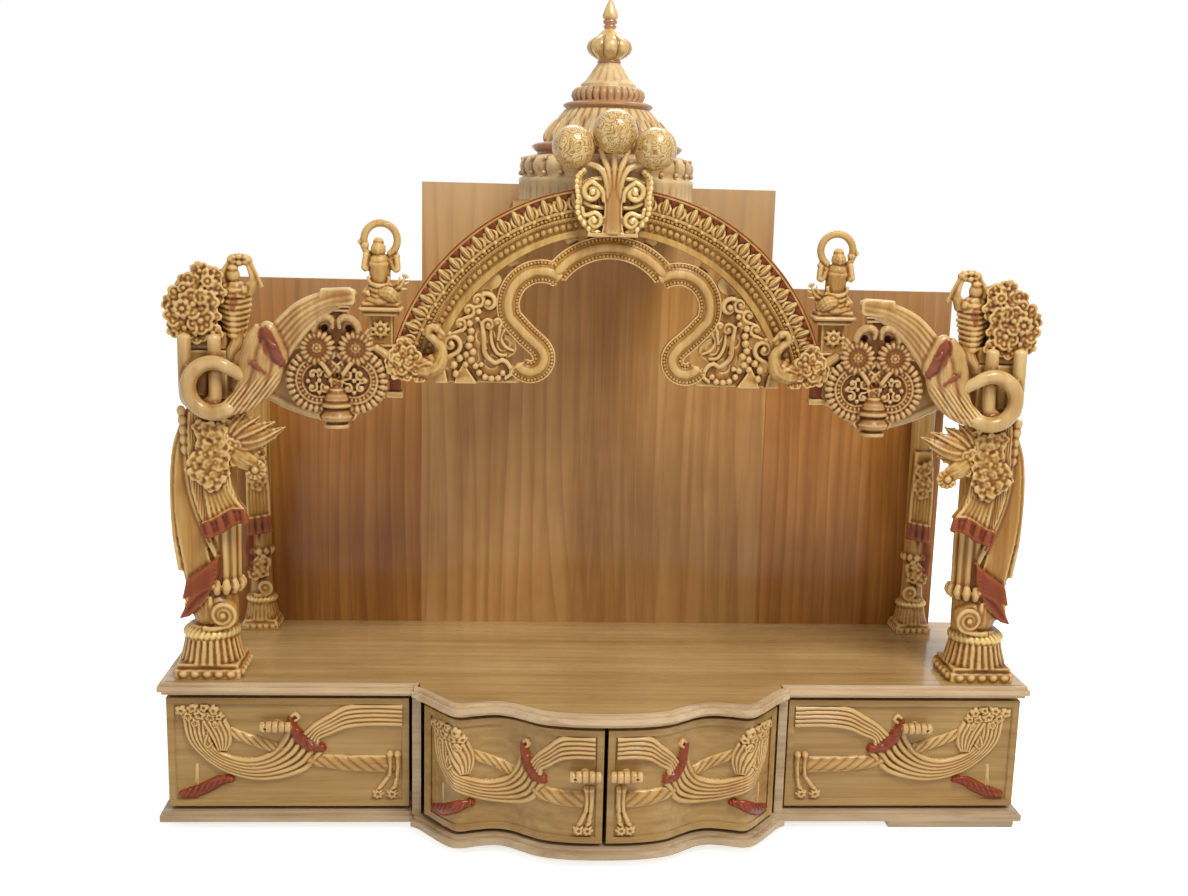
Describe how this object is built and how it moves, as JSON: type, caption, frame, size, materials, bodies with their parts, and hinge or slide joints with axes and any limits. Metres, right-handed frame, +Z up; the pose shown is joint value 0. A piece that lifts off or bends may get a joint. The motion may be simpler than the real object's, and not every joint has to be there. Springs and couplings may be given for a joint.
{
  "type": "pooja mandir",
  "caption": "Carved wooden home shrine with drawers, bowed doors, draped pillars, cusped arch, medallions and a tiered spire.",
  "frame": {"origin": "centre of the bounding box on the ground, under the feet", "axes": "+X along the width to the right as seen from the front, +Z up, the front faces -Y"},
  "size_m": [1.224, 0.465, 1.15],
  "materials": {
    "wood_carved": "gloss lacquer over pale carved wood",
    "wood_pale": "gloss lacquer over pale moulded boards",
    "wood_board": "gloss lacquer over orange brown boards with upright grain",
    "gold_lacquer": "gold yellow lacquer over carved wood"
  },
  "bodies": {
    "shrine": {"feet": "wood_pale", "plinth": "wood_pale", "carcass": "wood_carved", "partitions": "wood_carved", "drawer_runners": "wood_carved", "top_slab": "wood_pale", "back_board_centre": "wood_board", "back_boards_side": "wood_board", "pillar_front_left": "wood_carved", "pillar_front_right": "wood_carved", "pillar_back_left": "wood_carved", "pillar_back_right": "wood_carved", "side_rails": "wood_carved", "rope_loops_left": "wood_carved", "rope_loops_right": "wood_carved", "swag_left": "wood_carved", "swag_right": "wood_carved", "corner_crest_left": "wood_carved", "corner_crest_right": "wood_carved", "leaf_bracket_left": "wood_carved", "leaf_bracket_right": "wood_carved", "lintel_left": "wood_carved", "lintel_right": "wood_carved", "medallion_left": "wood_carved", "medallion_right": "wood_carved", "kneeling_figure_left": "wood_carved", "kneeling_figure_right": "wood_carved", "swan_left": "wood_carved", "swan_right": "wood_carved", "arch_band": "wood_carved", "cusped_moulding": "wood_carved", "spandrel_left": "wood_carved", "spandrel_right": "wood_carved", "tree_crest": "gold_lacquer", "roof_plate": "wood_carved", "shikhara": "wood_carved", "kalash": "gold_lacquer"},
    "drawer_left": {"drawer_left": "wood_carved", "drawer_knob_left": "wood_carved"},
    "drawer_right": {"drawer_right": "wood_carved", "drawer_knob_right": "wood_carved"},
    "door_left": {"door_left": "wood_carved", "door_knob_left": "wood_carved"},
    "door_right": {"door_right": "wood_carved", "door_knob_right": "wood_carved"}
  },
  "joints": [
    {"name": "drawer_left_slide", "type": "slide", "parent": "shrine", "child": "drawer_left", "axis": [0, -1, 0], "range_m": [0, 0.2]},
    {"name": "drawer_right_slide", "type": "slide", "parent": "shrine", "child": "drawer_right", "axis": [0, -1, 0], "range_m": [0, 0.2]},
    {"name": "door_left_hinge", "type": "hinge", "parent": "shrine", "child": "door_left", "pos_m": [-0.216, -0.14345, 0.11], "axis": [0, 0, -1], "range_deg": [0, 80]},
    {"name": "door_right_hinge", "type": "hinge", "parent": "shrine", "child": "door_right", "pos_m": [0.216, -0.14345, 0.11], "axis": [0, 0, 1], "range_deg": [0, 80]}
  ]
}
